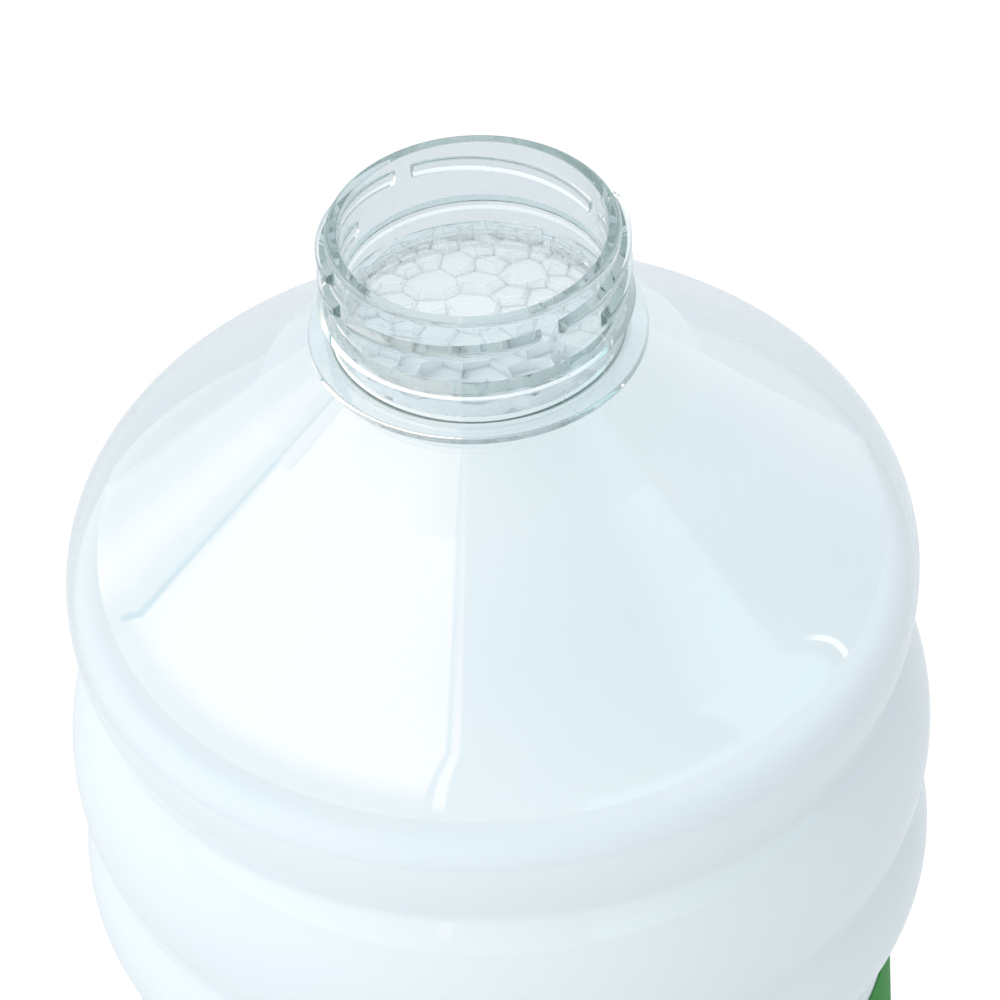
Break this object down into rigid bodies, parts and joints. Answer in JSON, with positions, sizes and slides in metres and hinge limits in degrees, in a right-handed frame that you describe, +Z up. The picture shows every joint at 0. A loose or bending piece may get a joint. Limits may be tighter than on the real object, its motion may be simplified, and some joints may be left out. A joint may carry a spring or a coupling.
{
  "type": "disinfectant bottle",
  "caption": "Tall clear blown bottle with a wide threaded neck and no cap, rounded grooves and a wrap label, holding white disinfectant.",
  "frame": {"origin": "centre of the foot, on the ground plane that the standing ring rests on", "axes": "+Z up along the bottle's axis to the mouth; +X to the right and +Y away from the viewer; the label's overlap is at +Y"},
  "size_m": [0.1052, 0.1052, 0.32],
  "materials": {
    "clear_plastic": "clear glossy blown plastic",
    "white_liquid": "opaque milky liquid",
    "foam": "clear bubbles",
    "label_film": "satin printed film"
  },
  "bodies": {
    "root": {"bottle": "clear_plastic", "liquid": "white_liquid", "foam": "foam", "label": "label_film"}
  },
  "joints": []
}
